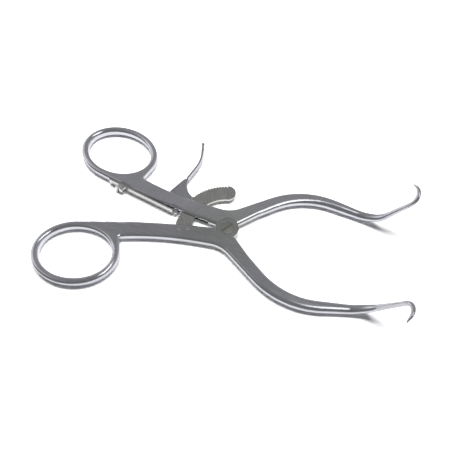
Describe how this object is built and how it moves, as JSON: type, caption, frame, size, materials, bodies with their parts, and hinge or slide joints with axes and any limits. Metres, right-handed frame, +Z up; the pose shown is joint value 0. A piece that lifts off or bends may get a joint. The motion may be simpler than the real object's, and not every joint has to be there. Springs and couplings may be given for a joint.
{
  "type": "self-retaining retractor",
  "caption": "Self-retaining surgical retractor: pivoted arms with finger rings, a toothed locking arc, a sprung release lever and slim jaws rising to outward hooks.",
  "frame": {"origin": "on the pivot axis, on the flat underside that the instrument lies on", "axes": "+X to the hooked points, +Y to the arm with the release lever, +Z up, the way the hooks rise"},
  "size_m": [0.1819, 0.1001, 0.0297],
  "materials": {
    "satin_steel": "satin",
    "grained_steel": "satin",
    "polished_steel": "polished"
  },
  "bodies": {
    "near_side": {"near_arm": "satin_steel", "ratchet_bar": "grained_steel", "ratchet_pins": "satin_steel"},
    "far_side": {"far_arm": "satin_steel", "pivot_screw": "satin_steel", "lever_pin": "satin_steel", "leaf_spring": "polished_steel", "spring_screw": "polished_steel"},
    "lever": {"release_lever": "grained_steel"}
  },
  "joints": [
    {"name": "arm_pivot", "type": "hinge", "parent": "near_side", "child": "far_side", "pos_m": [0, 0, 0.0026], "axis": [0, 0, 1], "range_deg": [-30, 13]},
    {"name": "release_pivot", "type": "hinge", "parent": "far_side", "child": "lever", "pos_m": [-0.0275, 0.0089, 0.0026], "axis": [0, 0, 1], "range_deg": [0, 8], "stiffness_Nm_per_rad": 0.05, "springref_deg": -34.38}
  ]
}
